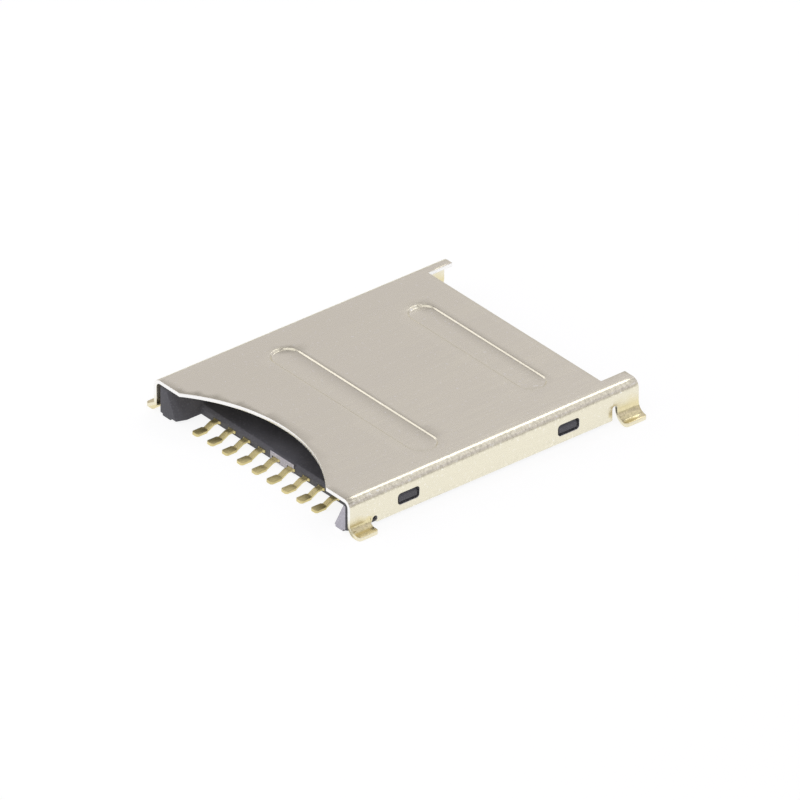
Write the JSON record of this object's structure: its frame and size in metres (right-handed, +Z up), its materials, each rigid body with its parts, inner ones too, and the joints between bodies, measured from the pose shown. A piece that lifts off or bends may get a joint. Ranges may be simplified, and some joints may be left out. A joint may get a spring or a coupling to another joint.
{
  "type": "micro sd card socket",
  "caption": "Low surface-mount socket for a micro SD card: folded sheet-metal cover with an arched mouth, moulded base with card guides, and a row of sprung contacts.",
  "frame": {"origin": "centre of the footprint, on the board's surface", "axes": "+X across the mouth, +Y the way the card goes in, +Z up from the board"},
  "size_m": [0.0158, 0.0174, 0.0019],
  "materials": {
    "cover_sheet": "satin nickel plate with pale gold flash on the solder feet",
    "base_moulding": "fine moulded texture",
    "contact_strip": "gold-flashed strip"
  },
  "bodies": {
    "root": {"cover": "cover_sheet", "base": "base_moulding", "contact_1": "contact_strip", "contact_2": "contact_strip", "contact_3": "contact_strip", "contact_4": "contact_strip", "contact_5": "contact_strip", "contact_6": "contact_strip", "contact_7": "contact_strip", "contact_8": "contact_strip", "detect_contact": "contact_strip"}
  },
  "joints": []
}
